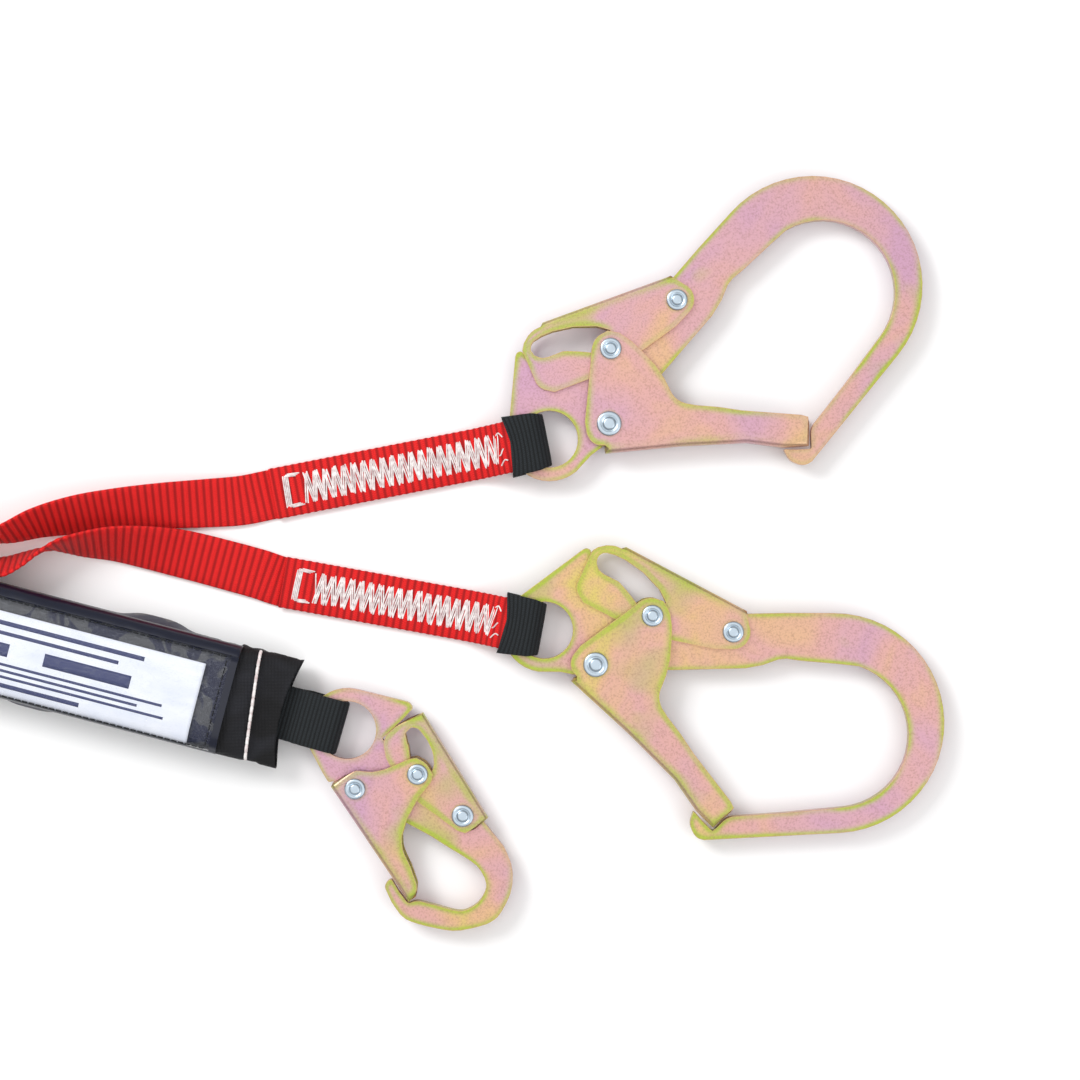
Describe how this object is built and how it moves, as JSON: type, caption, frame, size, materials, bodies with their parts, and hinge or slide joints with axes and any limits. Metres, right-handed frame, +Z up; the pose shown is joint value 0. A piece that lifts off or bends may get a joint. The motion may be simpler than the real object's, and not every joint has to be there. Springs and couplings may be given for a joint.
{
  "type": "shock absorbing lanyard",
  "caption": "Twin-leg fall arrest lanyard: webbing legs with double-locking rebar hooks, an absorber pack and a snap hook on its webbing loop.",
  "frame": {"origin": "on the ground under the middle of the hooks and the pack", "axes": "+X from the pack towards the rebar hooks, +Y towards the upper leg, +Z up from the ground"},
  "size_m": [0.8706, 0.3801, 0.0309],
  "materials": {
    "yellow_zinc": "stamped steel, yellow chromated zinc",
    "bright_zinc": "bright zinc plated rivet steel",
    "spring_steel": "drawn spring wire",
    "red_webbing": "woven polyester webbing, ribbed",
    "black_webbing": "woven polyester webbing, ribbed",
    "cover_cloth": "coated woven cloth",
    "white_thread": "sewing thread",
    "label_card": null,
    "clear_vinyl": "clear flexible vinyl"
  },
  "bodies": {
    "lanyard": {"pack_cover": "cover_cloth", "pack_tear_webbing": "black_webbing", "pack_label": "label_card", "pack_window": "clear_vinyl", "pack_stitch_right": "white_thread", "pack_stitch_left": "white_thread", "pack_loop": "black_webbing", "leg_a_webbing": "red_webbing", "leg_a_wear_pad": "black_webbing", "leg_a_stitching": "white_thread", "leg_b_webbing": "red_webbing", "leg_b_wear_pad": "black_webbing", "leg_b_stitching": "white_thread"},
    "hook_a": {"hook_a_body": "yellow_zinc", "hook_a_gate_rivet": "bright_zinc", "hook_a_lever_rivet": "bright_zinc", "hook_a_gate_spring": "spring_steel", "hook_a_lever_spring": "spring_steel"},
    "hook_a_gate": {"hook_a_gate": "yellow_zinc", "hook_a_lock_pin": "bright_zinc"},
    "hook_a_lever": {"hook_a_lever": "yellow_zinc"},
    "hook_b": {"hook_b_body": "yellow_zinc", "hook_b_gate_rivet": "bright_zinc", "hook_b_lever_rivet": "bright_zinc", "hook_b_gate_spring": "spring_steel", "hook_b_lever_spring": "spring_steel"},
    "hook_b_gate": {"hook_b_gate": "yellow_zinc", "hook_b_lock_pin": "bright_zinc"},
    "hook_b_lever": {"hook_b_lever": "yellow_zinc"},
    "snap": {"snap_body": "yellow_zinc", "snap_gate_rivet": "bright_zinc", "snap_lever_rivet": "bright_zinc", "snap_gate_spring": "spring_steel", "snap_lever_spring": "spring_steel"},
    "snap_gate": {"snap_gate": "yellow_zinc", "snap_lock_pin": "bright_zinc"},
    "snap_lever": {"snap_lever": "yellow_zinc"}
  },
  "joints": [
    {"name": "hook_a_swing", "type": "hinge", "parent": "lanyard", "child": "hook_a", "pos_m": [0.05551, 0.05453, 0.0096], "axis": [-0.1925, 0.9813, 0], "range_deg": [-15, 15]},
    {"name": "hook_a_gate_turn", "type": "hinge", "parent": "hook_a", "child": "hook_a_gate", "pos_m": [0.09855, 0.06472, 0.0096], "axis": [0, 0, 1], "range_deg": [0, 45], "stiffness_Nm_per_rad": 0.12, "springref_deg": -34.38, "deforming": ["hook_a_gate_spring"]},
    {"name": "hook_a_lever_press", "type": "hinge", "parent": "hook_a", "child": "hook_a_lever", "pos_m": [0.13248, 0.12661, 0.0096], "axis": [0, 0, 1], "range_deg": [0, 11], "stiffness_Nm_per_rad": 0.1, "springref_deg": -22.92, "deforming": ["hook_a_lever_spring"]},
    {"name": "hook_b_swing", "type": "hinge", "parent": "lanyard", "child": "hook_b", "pos_m": [0.05297, -0.03597, 0.0096], "axis": [0.1788, 0.9839, 0], "range_deg": [-15, 15]},
    {"name": "hook_b_gate_turn", "type": "hinge", "parent": "hook_b", "child": "hook_b_gate", "pos_m": [0.09185, -0.05541, 0.0096], "axis": [0, 0, 1], "range_deg": [0, 45], "stiffness_Nm_per_rad": 0.12, "springref_deg": -34.38, "deforming": ["hook_b_gate_spring"]},
    {"name": "hook_b_lever_press", "type": "hinge", "parent": "hook_b", "child": "hook_b_lever", "pos_m": [0.16055, -0.03921, 0.0096], "axis": [0, 0, 1], "range_deg": [0, 11], "stiffness_Nm_per_rad": 0.1, "springref_deg": -22.92, "deforming": ["hook_b_lever_spring"]},
    {"name": "snap_swing", "type": "hinge", "parent": "lanyard", "child": "snap", "pos_m": [-0.04543, -0.08465, 0.0096], "axis": [0.2723, 0.9622, 0], "range_deg": [-15, 15]},
    {"name": "snap_gate_turn", "type": "hinge", "parent": "snap", "child": "snap_gate", "pos_m": [-0.02811, -0.11734, 0.0096], "axis": [0, 0, 1], "range_deg": [0, 28], "stiffness_Nm_per_rad": 0.12, "springref_deg": -34.38, "deforming": ["snap_gate_spring"]},
    {"name": "snap_lever_press", "type": "hinge", "parent": "snap", "child": "snap_lever", "pos_m": [0.02549, -0.13101, 0.0096], "axis": [0, 0, 1], "range_deg": [0, 8], "stiffness_Nm_per_rad": 0.1, "springref_deg": -22.92, "deforming": ["snap_lever_spring"]}
  ],
  "couplings": [
    {"joint": "hook_a_lever_press", "follows": "hook_a_gate_turn", "ratio": 0.24444},
    {"joint": "hook_b_lever_press", "follows": "hook_b_gate_turn", "ratio": 0.24444},
    {"joint": "snap_lever_press", "follows": "snap_gate_turn", "ratio": 0.28571}
  ]
}
